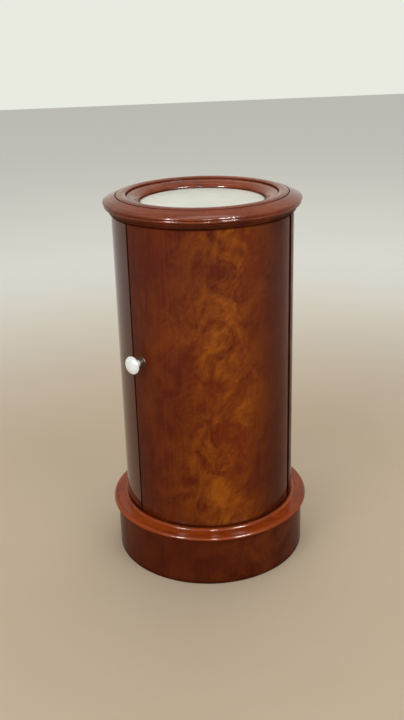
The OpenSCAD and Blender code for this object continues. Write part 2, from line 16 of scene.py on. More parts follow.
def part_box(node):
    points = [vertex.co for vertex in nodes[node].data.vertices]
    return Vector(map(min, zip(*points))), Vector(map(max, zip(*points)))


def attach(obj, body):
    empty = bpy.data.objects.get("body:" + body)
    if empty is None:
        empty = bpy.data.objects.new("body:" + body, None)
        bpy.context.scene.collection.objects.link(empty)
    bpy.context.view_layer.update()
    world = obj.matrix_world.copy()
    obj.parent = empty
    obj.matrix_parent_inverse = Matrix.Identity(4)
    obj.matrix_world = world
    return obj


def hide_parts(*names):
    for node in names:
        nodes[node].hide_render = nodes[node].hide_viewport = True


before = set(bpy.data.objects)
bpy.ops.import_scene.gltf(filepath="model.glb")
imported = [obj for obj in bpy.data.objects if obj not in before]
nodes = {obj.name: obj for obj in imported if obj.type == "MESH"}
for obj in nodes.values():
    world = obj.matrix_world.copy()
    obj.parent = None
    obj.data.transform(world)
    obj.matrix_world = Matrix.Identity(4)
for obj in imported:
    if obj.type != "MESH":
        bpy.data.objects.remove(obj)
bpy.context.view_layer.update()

# %% [markdown]
# Most of the sizes that the finishes need are read back from the solids. A few that no box can
# give, such as where the quirks lie, are repeated from the solid model further down.

# %% Sizes read from the solids
drum_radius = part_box("carcase_veneer")[1].y
ring_low, ring_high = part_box("top_ring")
ring_radius = ring_high.x
door_low, door_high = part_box("door_veneer")
base_low, base_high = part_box("base_moulding")
marble_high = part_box("marble_top")[1]
marble_radius = marble_high.x
mm = 0.001
print("drum radius", round(drum_radius, 4), "marble radius", round(marble_radius, 4))

# %% [markdown]
# ## Camera
# The camera stands a little to the left of the door's middle, above the cupboard, and looks
# down at it. A camera is placed by three directions: right, up and backwards. They are worked
# out from its turn, its tilt and its slight roll, then written into one matrix, which is exact
# where a Track To constraint would only be close.

# %% Camera
CAMERA_DISTANCE = 1.6799
CAMERA_HEIGHT = 1.0659
CAMERA_ROUND = math.radians(-7.8)
CAMERA_YAW = math.radians(-0.30)
CAMERA_TILT = math.radians(21.65)
CAMERA_ROLL = math.radians(1.576)
LENS = 45.0
SENSOR_WIDTH = 36


def camera_matrix():
    yaw = CAMERA_YAW - CAMERA_ROUND
    ahead = Vector((math.sin(yaw) * math.cos(CAMERA_TILT),
                    math.cos(yaw) * math.cos(CAMERA_TILT), -math.sin(CAMERA_TILT)))
    level = Vector((math.cos(yaw), -math.sin(yaw), 0))
    down = ahead.cross(level)
    right = level * math.cos(CAMERA_ROLL) + down * math.sin(CAMERA_ROLL)
    up = level * math.sin(CAMERA_ROLL) - down * math.cos(CAMERA_ROLL)
    place = Vector((math.sin(CAMERA_ROUND) * CAMERA_DISTANCE,
                    -math.cos(CAMERA_ROUND) * CAMERA_DISTANCE, CAMERA_HEIGHT))
    turned = Matrix((right, up, -ahead)).transposed().to_4x4()
    return Matrix.Translation(place) @ turned


camera = bpy.data.objects.new("camera", bpy.data.cameras.new("camera"))
bpy.context.scene.collection.objects.link(camera)
camera.data.lens = LENS
camera.data.sensor_width = SENSOR_WIDTH
camera.matrix_world = camera_matrix()
bpy.context.scene.camera = camera
print("camera at", tuple(round(v, 3) for v in camera.matrix_world.translation))

# %% [markdown]
# ## Shader helpers
# A material is a graph, and small helpers keep its cells short. One makes a node and fills in
# its sockets, four make the nodes that come most often, one stretches the coordinates of a
# pattern, and one opens a node group with named sockets. A group is the right place for an
# effect that several finishes share, such as the run of the grain.

# %% Helpers for shader nodes


def add(tree, kind, links=None, **settings):
    """A new node; settings are its properties, links maps a socket to a value or a socket."""
    node = tree.nodes.new(kind)
    for name, value in settings.items():
        setattr(node, name, value)
    for name, value in (links or {}).items():
        socket = node.inputs[name]
        if isinstance(value, bpy.types.NodeSocket):
            tree.links.new(value, socket)
        else:
            socket.default_value = value
    return node


def calc(tree, operation, *values, clamp=False):
    node = add(tree, "ShaderNodeMath", dict(enumerate(values)), operation=operation,
               use_clamp=clamp)
    return node.outputs[0]


def ease(tree, value, low, high, to_low=0.0, to_high=1.0):
    """Smooth step from to_low to to_high as value goes from low to high."""
    node = add(tree, "ShaderNodeMapRange", {"Value": value, "From Min": low, "From Max": high,
                                            "To Min": to_low, "To Max": to_high},
               interpolation_type="SMOOTHSTEP")
    return node.outputs["Result"]


def blend_colours(tree, factor, first, second):
    node = add(tree, "ShaderNodeMix", data_type="RGBA")
    for index, value in ((0, factor), (6, first), (7, second)):
        if isinstance(value, bpy.types.NodeSocket):
            tree.links.new(value, node.inputs[index])
        else:
            node.inputs[index].default_value = value
    return node.outputs[2]


def noise(tree, vector, scale, detail=2.0, rough=0.5, warp=0.0):
    node = add(tree, "ShaderNodeTexNoise", {"Vector": vector, "Scale": scale, "Detail": detail,
                                            "Roughness": rough, "Distortion": warp})
    return node.outputs["Fac"]


def stretched(tree, vector, scale, shift=(0, 0, 0), turn=0.0):
    """Turns the coordinates first, then scales them: a small number draws the pattern out."""
    if turn:
        vector = add(tree, "ShaderNodeMapping",
                     {"Vector": vector, "Rotation": (0, 0, turn)}).outputs["Vector"]
    node = add(tree, "ShaderNodeMapping", {"Vector": vector, "Scale": scale, "Location": shift})
    return node.outputs["Vector"]


def open_group(name, inputs, outputs):
    """A node group with named sockets: inputs maps a name to (kind, default)."""
    tree = bpy.data.node_groups.new(name, "ShaderNodeTree")
    for label, (kind, default) in inputs.items():
        socket = tree.interface.new_socket(name=label, in_out="INPUT", socket_type=kind)
        if default is not None:
            socket.default_value = default
    for label, kind in outputs.items():
        tree.interface.new_socket(name=label, in_out="OUTPUT", socket_type=kind)
    return tree, tree.nodes.new("NodeGroupInput").outputs, tree.nodes.new("NodeGroupOutput").inputs


FLOAT, VECTOR = "NodeSocketFloat", "NodeSocketVector"

# %% [markdown]
# ## Shared effects
# **Unrolled coordinates.** Veneer is a flat sheet bent round the drum, so its grain has to be
# drawn on the unrolled sheet: x is the length along the curve, y the height and z the distance
# from the axis. The sheet's two ends meet at the back.

# %% Group: coordinates on the unrolled sheet
tree, given, result = open_group(
    "unrolled sheet",
    {"Place": (VECTOR, None), "Radius": (FLOAT, 0.172)},
    {"Sheet": VECTOR, "Out": FLOAT})
parts = add(tree, "ShaderNodeSeparateXYZ", {"Vector": given["Place"]}).outputs
back_to_front = calc(tree, "MULTIPLY", parts["Y"], -1.0)
turn = calc(tree, "ARCTAN2", parts["X"], back_to_front)
around = calc(tree, "MULTIPLY", turn, given["Radius"])
flat = add(tree, "ShaderNodeCombineXYZ", {"X": parts["X"], "Y": parts["Y"]}).outputs[0]
out = add(tree, "ShaderNodeVectorMath", {0: flat}, operation="LENGTH").outputs["Value"]
sheet = add(tree, "ShaderNodeCombineXYZ", {"X": around, "Y": parts["Z"], "Z": out}).outputs[0]
tree.links.new(sheet, result["Sheet"])
tree.links.new(out, result["Out"])
unrolled = tree
print("made group", unrolled.name)

# %% [markdown]
# **Fibres.** All wood here is drawn at two scales: soft streaks a few millimetres wide that run
# along the grain, and pores, the short dark dashes of mahogany. Both are noise that is
# stretched along y. Together they give the height for a Bump node.

# %% Group: fibres and pores
tree, given, result = open_group(
    "fibres and pores",
    {"Sheet": (VECTOR, None), "Streaks per metre": (FLOAT, 170.0),
     "Pores per metre": (FLOAT, 1500.0), "Pore depth": (FLOAT, 1.0)},
    {"Streak": FLOAT, "Pore": FLOAT, "Height": FLOAT})
along = stretched(tree, given["Sheet"], (1.0, 0.028, 0.5))
wander = noise(tree, stretched(tree, given["Sheet"], (1.0, 0.35, 1.0)), 14.0, 2.0)
sway = add(tree, "ShaderNodeCombineXYZ", {"X": calc(tree, "MULTIPLY", wander, 0.012)}).outputs[0]
swayed = add(tree, "ShaderNodeVectorMath", {0: along, 1: sway}, operation="ADD").outputs[0]
broad = noise(tree, swayed, given["Streaks per metre"], 3.0, 0.62)
fine = noise(tree, swayed, calc(tree, "MULTIPLY", given["Streaks per metre"], 4.3), 2.0, 0.6)
streak = calc(tree, "ADD", calc(tree, "MULTIPLY", broad, 0.68),
              calc(tree, "MULTIPLY", fine, 0.32))
dashes = noise(tree, stretched(tree, given["Sheet"], (1.0, 0.075, 0.6)),
               given["Pores per metre"], 1.0, 0.4)
pore = ease(tree, dashes, 0.60, 0.70)
depth = calc(tree, "MULTIPLY", pore, given["Pore depth"])
tree.links.new(streak, result["Streak"])
tree.links.new(pore, result["Pore"])
tree.links.new(calc(tree, "SUBTRACT", calc(tree, "MULTIPLY", streak, 0.15), depth),
               result["Height"])
fibres = tree
print("made group", fibres.name)

# %% [markdown]
# **Flame figure.** Figured mahogany is cut where a branch leaves the trunk. The fibres there
# lean in and out of the surface, so patches of the sheet glow gold beside dark red ones, in a
# plume that climbs and sways. The plume is a soft column whose centre line leans and swings with
# the height. Inside it, warped noise at two sizes picks the glowing patches, and feathers rise
# across them at a slant. A Mapping node scales before it turns, so a slanted feather needs two:
# one to turn the coordinates and one to stretch them.

# %% Group: flame figure
tree, given, result = open_group(
    "flame figure",
    {"Sheet": (VECTOR, None), "Centre": (FLOAT, 0.0), "Lean": (FLOAT, 0.1),
     "Width": (FLOAT, 0.06), "Swing": (FLOAT, 0.02), "Shift": (VECTOR, (0, 0, 0))},
    {"Glow": FLOAT, "Shade": FLOAT, "Feather": FLOAT})
parts = add(tree, "ShaderNodeSeparateXYZ", {"Vector": given["Sheet"]}).outputs
swing = calc(tree, "SINE", calc(tree, "SUBTRACT", calc(tree, "MULTIPLY", parts["Y"], 23.4), 0.84))
leaning = calc(tree, "ADD", given["Centre"], calc(tree, "MULTIPLY", parts["Y"], given["Lean"]))
line = calc(tree, "ADD", leaning, calc(tree, "MULTIPLY", swing, given["Swing"]))
off = calc(tree, "DIVIDE", calc(tree, "SUBTRACT", parts["X"], line), given["Width"])
column = calc(tree, "EXPONENT", calc(tree, "MULTIPLY", calc(tree, "MULTIPLY", off, off), -1.0))
moved = add(tree, "ShaderNodeVectorMath", {0: given["Sheet"], 1: given["Shift"]},
            operation="ADD").outputs[0]
clouds = noise(tree, stretched(tree, moved, (1.0, 0.7, 0.4), turn=math.radians(12)), 19.0, 4.0,
               0.58, 1.1)
licks = noise(tree, stretched(tree, moved, (0.75, 1.25, 0.4), turn=math.radians(-58)), 46.0,
              3.0, 0.6, 1.2)
feather = noise(tree, stretched(tree, moved, (0.55, 1.5, 0.5), turn=math.radians(-40)), 96.0,
                2.0, 0.55, 1.0)
patches = ease(tree, calc(tree, "ADD", calc(tree, "MULTIPLY", clouds, 0.70),
                          calc(tree, "MULTIPLY", licks, 0.30)), 0.36, 0.66)
glow = calc(tree, "MULTIPLY", patches, calc(tree, "ADD", calc(tree, "MULTIPLY", column, 0.82),
                                            0.18))
shade = noise(tree, stretched(tree, moved, (1.0, 0.35, 0.4), (0.4, 0.1, 0)), 8.0, 3.0, 0.55, 0.4)
tree.links.new(glow, result["Glow"])
tree.links.new(shade, result["Shade"])
tree.links.new(feather, result["Feather"])
flame = tree
print("made group", flame.name)

# %% [markdown]
# **Age.** French polish is never quite even. Over the years it gathers fine scuffs and a little
# dust on what faces up. This group gives three masks: soft uneven patches, thin scuffs, and
# dust that follows the upward part of the normal. Its fourth output is a slow ripple.

# %% Group: age
tree, given, result = open_group(
    "age",
    {"Place": (VECTOR, None), "Normal": (VECTOR, None), "Dust": (FLOAT, 0.3)},
    {"Uneven": FLOAT, "Scuff": FLOAT, "Dust": FLOAT, "Ripple": FLOAT})
uneven = noise(tree, given["Place"], 26.0, 4.0, 0.6, 0.3)
thin = noise(tree, stretched(tree, given["Place"], (1.0, 1.0, 0.12), turn=0.4), 420.0, 1.0, 0.5)
sparse = noise(tree, given["Place"], 11.0, 2.0)
scuff = calc(tree, "MULTIPLY", ease(tree, thin, 0.66, 0.72), ease(tree, sparse, 0.5, 0.68))
upward = add(tree, "ShaderNodeSeparateXYZ", {"Vector": given["Normal"]}).outputs["Z"]
settled = calc(tree, "MULTIPLY", ease(tree, upward, 0.55, 1.0),
               ease(tree, noise(tree, given["Place"], 60.0, 4.0, 0.65), 0.35, 0.75))
ripple = noise(tree, given["Place"], 45.0, 1.0)
tree.links.new(uneven, result["Uneven"])
tree.links.new(scuff, result["Scuff"])
tree.links.new(calc(tree, "MULTIPLY", settled, given["Dust"]), result["Dust"])
tree.links.new(ripple, result["Ripple"])
age = tree
print("made group", age.name)

# %% [markdown]
# **Line.** A wax line in a quirk, the shade beside a seam and a vein in the marble are all the
# same thing to a shader: a soft band round one value.

# %% Group: soft line
tree, given, result = open_group(
    "soft line",
    {"Value": (FLOAT, 0.0), "At": (FLOAT, 0.0), "Half width": (FLOAT, 0.002)},
    {"Line": FLOAT})
away = calc(tree, "ABSOLUTE", calc(tree, "SUBTRACT", given["Value"], given["At"]))
near = calc(tree, "DIVIDE", away, given["Half width"])
tree.links.new(ease(tree, near, 0.0, 1.0, 1.0, 0.0), result["Line"])
soft_line = tree
print("made group", soft_line.name)

# %% [markdown]
# ## Finishes
# Each finish starts from the same shell: a Principled BSDF, the object's own coordinates and an
# output. Numbers that are the same all over, such as the gloss of the polish, are set straight
# on the shader's sockets. French polish is a clear coat over stained wood, so the wood itself
# hardly shines and the Coat sockets do. Even a trace of shine in the wood would mirror the room
# at a low angle and grey the dark seams, so under the veneers' coat it is nought. Lines of
# painted shade darken the seams, the quirks and the recesses, with old wax in the quirks, and
# the coat goes under them too.

# %% Start a finish


def start_finish(name, **shader_values):
    material = bpy.data.materials.new(name)
    material.use_nodes = True
    tree = material.node_tree
    tree.nodes.clear()
    shader = add(tree, "ShaderNodeBsdfPrincipled",
                 {key.replace("_", " "): value for key, value in shader_values.items()})
    add(tree, "ShaderNodeOutputMaterial", {"Surface": shader.outputs[0]})
    place = add(tree, "ShaderNodeTexCoord").outputs["Object"]
    return material, tree, shader, place


def place_group(tree, group, **links):
    node = tree.nodes.new("ShaderNodeGroup")
    node.node_tree = group
    for name, value in links.items():
        socket = node.inputs[name.replace("_", " ")]
        if isinstance(value, bpy.types.NodeSocket):
            tree.links.new(value, socket)
        else:
            socket.default_value = value
    return node.outputs


def colour(red, green, blue):
    """An 8-bit screen colour as Blender's linear colour."""
    def straight(v):
        v /= 255
        return v / 12.92 if v <= 0.04045 else ((v + 0.055) / 1.055) ** 2.4
    return (straight(red), straight(green), straight(blue), 1)


def bump(tree, shader, height, distance):
    node = add(tree, "ShaderNodeBump", {"Height": height, "Distance": distance})
    tree.links.new(node.outputs[0], shader.inputs["Normal"])


def aged(tree, place, dust):
    """The masks of age for this finish, with its share of dust."""
    normal = add(tree, "ShaderNodeNewGeometry").outputs["Normal"]
    return place_group(tree, age, Place=place, Normal=normal, Dust=dust)


MOULDING_COAT = 0.7
VENEER_POLISH = {"Coat_Roughness": 0.06, "Specular_IOR_Level": 0.0}
MOULDING_POLISH = {"Coat_Roughness": 0.08, "Coat_IOR": 1.24, "Specular_IOR_Level": 0.03}
# The darkest tint: old wax in the quirks, and painted shade in the seams, recesses and undersides.
wax_and_shade_dark = colour(30, 9, 6)


def lay_lines(tree, base, coat, spread, lines):
    """Soft lines of painted shade and wax; the coat comes off there, sooner under the darkest."""
    bare = None
    for value, at, reach, tint, amount in lines:
        line = place_group(tree, soft_line, Value=value, At=at, Half_width=reach)
        broken = calc(tree, "MULTIPLY", line["Line"],
                      ease(tree, spread, 0.3, 0.65, 0.75 * amount, amount))
        base = blend_colours(tree, broken, base, tint)
        off = ease(tree, broken, 0.0, 0.5) if tint is wax_and_shade_dark else broken
        bare = off if bare is None else calc(tree, "MAXIMUM", bare, off)
    return base, calc(tree, "SUBTRACT", coat, calc(tree, "MULTIPLY", bare, coat))


print("dark wax, as linear colour:", tuple(round(value, 4) for value in wax_and_shade_dark))

# %% [markdown]
# ** Figured veneer.** Colour goes in three layers: a dark red ground that drifts from plain to
# deep, the streaks of the fibres over it, and the gold of the flame on top. The door, the drum
# and the plinth take the same recipe with their own plume, depth and shade, as different leaves
# would have. Over them go broad bands and soft lines of painted shade, with the coat taken off
# under the lines.

# %% Finish: figured veneer


def figured_veneer(name, centre, lean, width, shift, deep, ground, warm, gold, glow, edges,
                   shade_zones=(), coat=1.0, coat_ior=1.2):
    material, tree, shader, place = start_finish(name, Coat_IOR=coat_ior, **VENEER_POLISH)
    sheet = place_group(tree, unrolled, Place=place, Radius=drum_radius)
    grain = place_group(tree, fibres, Sheet=sheet["Sheet"], Pore_depth=0.5)
    figure = place_group(tree, flame, Sheet=sheet["Sheet"], Centre=centre, Lean=lean,
                         Width=width, Shift=shift)
    old = aged(tree, place, 0.25)
    drift = ease(tree, figure["Shade"], 0.34, 0.66)
    body = blend_colours(tree, drift, deep, ground)
    streaked = blend_colours(tree, ease(tree, grain["Streak"], 0.38, 0.64), body, warm)
    toned = blend_colours(tree, 0.32, body, streaked)
    lit = calc(tree, "MULTIPLY", figure["Glow"],
               ease(tree, figure["Feather"], 0.25, 0.75, 0.7 * glow, 1.1 * glow), clamp=True)
    flamed = blend_colours(tree, lit, toned, gold)
    pored = blend_colours(tree, calc(tree, "MULTIPLY", grain["Pore"], 0.24), flamed, deep)
    parts = add(tree, "ShaderNodeSeparateXYZ", {"Vector": sheet["Sheet"]}).outputs
    # Broad bands of painted shade, here toward the door's two edges.
    for at, reach, tint, amount in shade_zones:
        zone = place_group(tree, soft_line, Value=parts["X"], At=at, Half_width=reach)["Line"]
        pored = blend_colours(tree, calc(tree, "MULTIPLY", zone, amount), pored, tint)
    # The edges are soft lines of painted shade, and the coat comes off under them.
    shade_lines_laid, coat = lay_lines(tree, pored, coat, old["Uneven"],
                           [(parts[socket], *rest) for socket, *rest in edges])
    tree.links.new(shade_lines_laid, shader.inputs["Base Color"])
    tree.links.new(coat, shader.inputs["Coat Weight"])
    rough = calc(tree, "ADD", ease(tree, old["Uneven"], 0.3, 0.7, 0.24, 0.36),
                 calc(tree, "MULTIPLY", old["Scuff"], 0.2))
    tree.links.new(rough, shader.inputs["Roughness"])
    height = calc(tree, "ADD", grain["Height"], calc(tree, "MULTIPLY", old["Ripple"], 2.4))
    bump(tree, shader, height, 0.00008)
    return material


DOOR_HALF_DEGREES = 60.5
DOOR_HALF = math.radians(DOOR_HALF_DEGREES) * drum_radius
# Painted shade along the top of the door and drum, under the ring, and in the recess at their
# foot.
shade_at_top_and_foot = (("Y", door_high.z, 5 * mm, wax_and_shade_dark, 0.85),
                ("Y", base_high.z, 8 * mm, wax_and_shade_dark, 0.75))
door_finish = figured_veneer(
    "door mahogany", centre=-0.005, lean=0.035, width=0.060, shift=(0.31, 0.12, 0.0),
    deep=colour(81, 23, 10), ground=colour(104, 39, 13), warm=colour(114, 50, 15),
    gold=colour(154, 82, 17), glow=1.0,
    # Painted shade toward each seam, where the door's curve turns from the light.
    shade_zones=((DOOR_HALF - 48 * mm, 88 * mm, colour(50, 12, 6), 0.58),
           (-DOOR_HALF, 75 * mm, colour(50, 14, 7), 0.42)),
    # Painted shade in the two seams.
    edges=(("X", -DOOR_HALF, 4.0 * mm, wax_and_shade_dark, 0.98),
           ("X", DOOR_HALF - 1 * mm, 10 * mm, wax_and_shade_dark, 1.0)) + shade_at_top_and_foot)
drum_finish = figured_veneer(
    "drum mahogany", centre=0.26, lean=0.1, width=0.12, shift=(1.7, 0.45, 0.0),
    deep=colour(54, 16, 9), ground=colour(78, 28, 12), warm=colour(94, 40, 16),
    gold=colour(126, 62, 16), glow=0.9, coat_ior=1.46,
    # Painted shade in the two seams.
    edges=(("X", -DOOR_HALF, 3.4 * mm, wax_and_shade_dark, 0.97),
           ("X", DOOR_HALF + 1 * mm, 11 * mm, wax_and_shade_dark, 1.0),
           # A broad band of painted shade past the hinge seam, with less coat, darkens the drum's
           # right side.
           ("X", DOOR_HALF + 16 * mm, 26 * mm, colour(60, 22, 12), 0.72)) + shade_at_top_and_foot)
plinth_finish = figured_veneer(
    "plinth mahogany", centre=0.05, lean=0.2, width=0.10, shift=(3.1, 0.8, 0.0),
    deep=colour(60, 19, 10), ground=colour(88, 34, 15), warm=colour(96, 41, 18),
    gold=colour(118, 54, 18), glow=0.7, coat=0.6,
    # Painted shade along the plinth's foot on the floor and under the base moulding.
    edges=(("Y", 0.0, 9 * mm, colour(44, 20, 12), 0.8), ("Y", base_low.z, 5 * mm, wax_and_shade_dark, 0.7)))
print("made the veneers")

# %% [markdown]
# ** Turned mahogany.** The top and base mouldings are dressed as rings built up of segments,
# with the grain running round. So the sheet's x and y change places: the fibres run along the
# circle. Each segment has its own tone and a hair-thin joint. There are five, so that one joint
# falls at the back, where the sheet's two ends meet and the pattern would break anyway. Soft dark
# lines, known by their distance from the axis or by their height, are painted shade over old wax
# in the quirks, and painted shade alone round the marble, under the top, at the drum's foot and
# along the base's lower edge.

# %% Finish: turned mahogany


def turned_mahogany(name, radius, deep, ground, warm, lines, dust, segments=5):
    material, tree, shader, place = start_finish(name, **MOULDING_POLISH)
    sheet = place_group(tree, unrolled, Place=place, Radius=radius)
    parts = add(tree, "ShaderNodeSeparateXYZ", {"Vector": sheet["Sheet"]}).outputs
    segment = 2 * math.pi * radius / segments
    count = calc(tree, "ADD", calc(tree, "DIVIDE", parts["X"], segment), 0.5)
    number = calc(tree, "FLOOR", count)
    section = calc(tree, "SUBTRACT", parts["Z"], calc(tree, "MULTIPLY", parts["Y"], 0.8))
    offset = calc(tree, "MULTIPLY", number, 0.73)
    run = add(tree, "ShaderNodeCombineXYZ", {"X": calc(tree, "ADD", section, offset),
                                             "Y": parts["X"], "Z": offset}).outputs[0]
    grain = place_group(tree, fibres, Sheet=run, Streaks_per_metre=150.0, Pore_depth=0.35)
    tone = add(tree, "ShaderNodeTexWhiteNoise", {"W": number}, noise_dimensions="1D").outputs[0]
    old = aged(tree, place, dust)
    drift = calc(tree, "ADD", calc(tree, "MULTIPLY", tone, 0.22),
                 ease(tree, noise(tree, run, 9.0, 3.0, 0.55, 0.5), 0.3, 0.7, 0.0, 0.8), clamp=True)
    body = blend_colours(tree, drift, deep, ground)
    streaked = blend_colours(tree, ease(tree, grain["Streak"], 0.42, 0.62, 0.0, 0.6), body, warm)
    joint = calc(tree, "ABSOLUTE", calc(tree, "SUBTRACT", calc(tree, "FRACT", count), 0.5))
    joined = blend_colours(tree, ease(tree, joint, 0.4985, 0.4998, 0.0, 0.35), streaked, deep)
    pored = blend_colours(tree, calc(tree, "MULTIPLY", grain["Pore"], 0.24), joined, deep)
    shade_lines_laid, coat = lay_lines(tree, pored, MOULDING_COAT, old["Uneven"],
                           [(sheet["Out"] if socket == "Out" else parts[socket], *rest)
                            for socket, *rest in lines])
    dusty = blend_colours(tree, old["Dust"], shade_lines_laid, colour(150, 112, 92))
    tree.links.new(dusty, shader.inputs["Base Color"])
    tree.links.new(coat, shader.inputs["Coat Weight"])
    rough = calc(tree, "ADD", ease(tree, old["Uneven"], 0.3, 0.7, 0.22, 0.34),
                 calc(tree, "MULTIPLY", old["Dust"], 0.5))
    tree.links.new(rough, shader.inputs["Roughness"])
    height = calc(tree, "ADD", grain["Height"], calc(tree, "MULTIPLY", old["Ripple"], 1.6))
    bump(tree, shader, height, 0.00004)
    return material


OUTER_QUIRK = ring_radius - 24.5 * mm
INNER_QUIRK = ring_radius - 44.5 * mm
UNDER_EDGE = ring_low.z + 15.5 * mm
UNDER_BEAD = ring_low.z + 9.8 * mm
COVE = ring_low.z + 2.0 * mm
# Wax and painted shade in the two quirks; painted shade round the marble, below the nose, under
# the bead and in the cove.
ring_finish = turned_mahogany(
    "top mahogany", 0.15, colour(94, 33, 14), colour(127, 55, 27), colour(144, 72, 38),
    lines=(("Out", OUTER_QUIRK, 2.0 * mm, wax_and_shade_dark, 0.8),
           ("Out", INNER_QUIRK, 2.0 * mm, wax_and_shade_dark, 0.75),
           ("Out", marble_radius, 1.6 * mm, wax_and_shade_dark, 0.7),
           ("Y", UNDER_EDGE, 1.1 * mm, wax_and_shade_dark, 0.4),
           ("Y", UNDER_BEAD, 2.2 * mm, wax_and_shade_dark, 0.9),
           ("Y", COVE, 8.0 * mm, wax_and_shade_dark, 0.8)),
    dust=0.06)
# Painted shade in the recess at the drum's foot and along the base's lower edge.
base_finish = turned_mahogany(
    "base mahogany", 0.19, colour(112, 38, 6), colour(146, 56, 8), colour(160, 74, 16),
    lines=(("Out", drum_radius - 0.8 * mm, 1.7 * mm, wax_and_shade_dark, 0.95),
           ("Y", base_low.z, 1.5 * mm, wax_and_shade_dark, 0.7)),
    dust=0.04)
print("made the turned finishes")

# %% [markdown]
# ** Solid edges.** The stiles beside the door are solid mahogany. Only their edges and inner
# faces show, so they are plain, straight in the grain and thinly polished. Toward the outside
# they close the seams, which are painted nearly black: shade in the gap, over old wax and dust.

# %% Finish: plain mahogany


def straight_wood(name, deep, ground, warm, roughness, pores, coat):
    material, tree, shader, place = start_finish(name, Coat_Roughness=0.12,
                                                 Specular_IOR_Level=0.1)
    sheet = place_group(tree, unrolled, Place=place, Radius=drum_radius)
    grain = place_group(tree, fibres, Sheet=sheet["Sheet"], Streaks_per_metre=130.0,
                        Pores_per_metre=1300.0, Pore_depth=pores)
    old = aged(tree, place, 0.3)
    drift = ease(tree, noise(tree, stretched(tree, sheet["Sheet"], (1, 0.12, 1)), 22.0, 3.0),
                 0.3, 0.7)
    body = blend_colours(tree, drift, deep, ground)
    streaked = blend_colours(tree, ease(tree, grain["Streak"], 0.40, 0.64), body, warm)
    toned = blend_colours(tree, 0.6, body, streaked)
    pored = blend_colours(tree, calc(tree, "MULTIPLY", grain["Pore"], 0.35), toned, deep)
    stained = blend_colours(tree, ease(tree, old["Uneven"], 0.55, 0.8, 0.0, 0.35), pored, deep)
    dusty = blend_colours(tree, old["Dust"], stained, colour(140, 120, 100))
    # Painted shade, over old wax, makes the outer part of each seam nearly black.
    waxed_and_shaded, coat = lay_lines(tree, dusty, coat, old["Uneven"],
                            [(sheet["Out"], drum_radius, 14 * mm, colour(20, 7, 5), 1.0)])
    tree.links.new(waxed_and_shaded, shader.inputs["Base Color"])
    tree.links.new(coat, shader.inputs["Coat Weight"])
    tree.links.new(ease(tree, old["Uneven"], 0.3, 0.7, roughness - 0.06, roughness + 0.08),
                   shader.inputs["Roughness"])
    bump(tree, shader, grain["Height"], 0.00012)
    return material


stile_finish = straight_wood("plain mahogany", colour(66, 24, 12), colour(92, 38, 20),
                             colour(114, 54, 28), 0.42, 0.6, 0.25)
print("made", stile_finish.name)

# %% [markdown]
# **Pine.** The staves, boards and blocks are bare pine, gone the colour of weak tea. Pine has
# no pores to speak of, but bands of early and late wood, which a slow noise crowds together and
# spreads apart. In the staves and blocks they stand upright on the unrolled sheet, and in the
# boards they run from front to back, a little aslant.

# %% Finish: pine


def pine(name, flat):
    material, tree, shader, place = start_finish(name, Specular_IOR_Level=0.25)
    if flat:
        run = stretched(tree, place, (1.0, 1.0, 1.0), turn=math.radians(12))
    else:
        run = place_group(tree, unrolled, Place=place, Radius=drum_radius)["Sheet"]
    warped = noise(tree, stretched(tree, run, (1.0, 0.16, 1.0)), 11.0, 3.0)
    parts = add(tree, "ShaderNodeSeparateXYZ", {"Vector": run}).outputs
    bent = calc(tree, "ADD", parts["X"], calc(tree, "MULTIPLY", warped, 0.10))
    saw = calc(tree, "FRACT", calc(tree, "MULTIPLY", bent, 88.0))
    patchy = noise(tree, stretched(tree, run, (1.0, 0.1, 1.0), (0.3, 0.7, 0.0)), 24.0, 2.0)
    late = calc(tree, "MULTIPLY", ease(tree, saw, 0.35, 0.97), ease(tree, patchy, 0.3, 0.7, 0.2))
    grain = place_group(tree, fibres, Sheet=run, Streaks_per_metre=260.0,
                        Pores_per_metre=900.0, Pore_depth=0.25)
    old = aged(tree, place, 0.35)
    body = blend_colours(tree, late, colour(184, 144, 100), colour(152, 104, 62))
    streaked = blend_colours(tree, ease(tree, grain["Streak"], 0.4, 0.65, 0.0, 0.45), body,
                             colour(132, 88, 52))
    stained = blend_colours(tree, ease(tree, old["Uneven"], 0.48, 0.78, 0.0, 0.55), streaked,
                            colour(112, 78, 50))
    dusty = blend_colours(tree, old["Dust"], stained, colour(140, 124, 104))
    tree.links.new(dusty, shader.inputs["Base Color"])
    tree.links.new(ease(tree, old["Uneven"], 0.3, 0.7, 0.58, 0.74), shader.inputs["Roughness"])
    height = calc(tree, "ADD", grain["Height"], calc(tree, "MULTIPLY", late, 0.5))
    bump(tree, shader, height, 0.00015)
    return material


stave_finish = pine("pine staves", flat=False)
board_finish = pine("pine boards", flat=True)
print("made the pine")

# %% [markdown]
# **Marble.** Off-white, faintly clouded, with thin grey veins that wander, fork and fade. A
# vein is where warped noise passes through its middle value, so a narrow band round 0.5 draws
# it, and a second noise lets it come and go.

# %% Finish: marble
marble_finish, tree, shader, place = start_finish("marble", Coat_Weight=0.1,
                                                  Coat_Roughness=0.2, Specular_IOR_Level=0.2)
warp = noise(tree, place, 9.0, 4.0, 0.6)
pushed = add(tree, "ShaderNodeVectorMath",
             {0: place, 1: add(tree, "ShaderNodeCombineXYZ",
                               {"X": calc(tree, "MULTIPLY", warp, 0.10),
                                "Y": calc(tree, "MULTIPLY", warp, -0.06)}).outputs[0]},
             operation="ADD").outputs[0]
vein_field = noise(tree, stretched(tree, pushed, (1.0, 0.55, 1.0), turn=0.7), 9.0, 4.0, 0.55)
vein = place_group(tree, soft_line, Value=vein_field, At=0.5, Half_width=0.022)["Line"]
fading = ease(tree, noise(tree, place, 14.0, 3.0), 0.42, 0.68)
clouds = ease(tree, noise(tree, pushed, 16.0, 4.0, 0.6, 0.6), 0.3, 0.7)
body = blend_colours(tree, clouds, colour(214, 215, 203), colour(206, 208, 197))
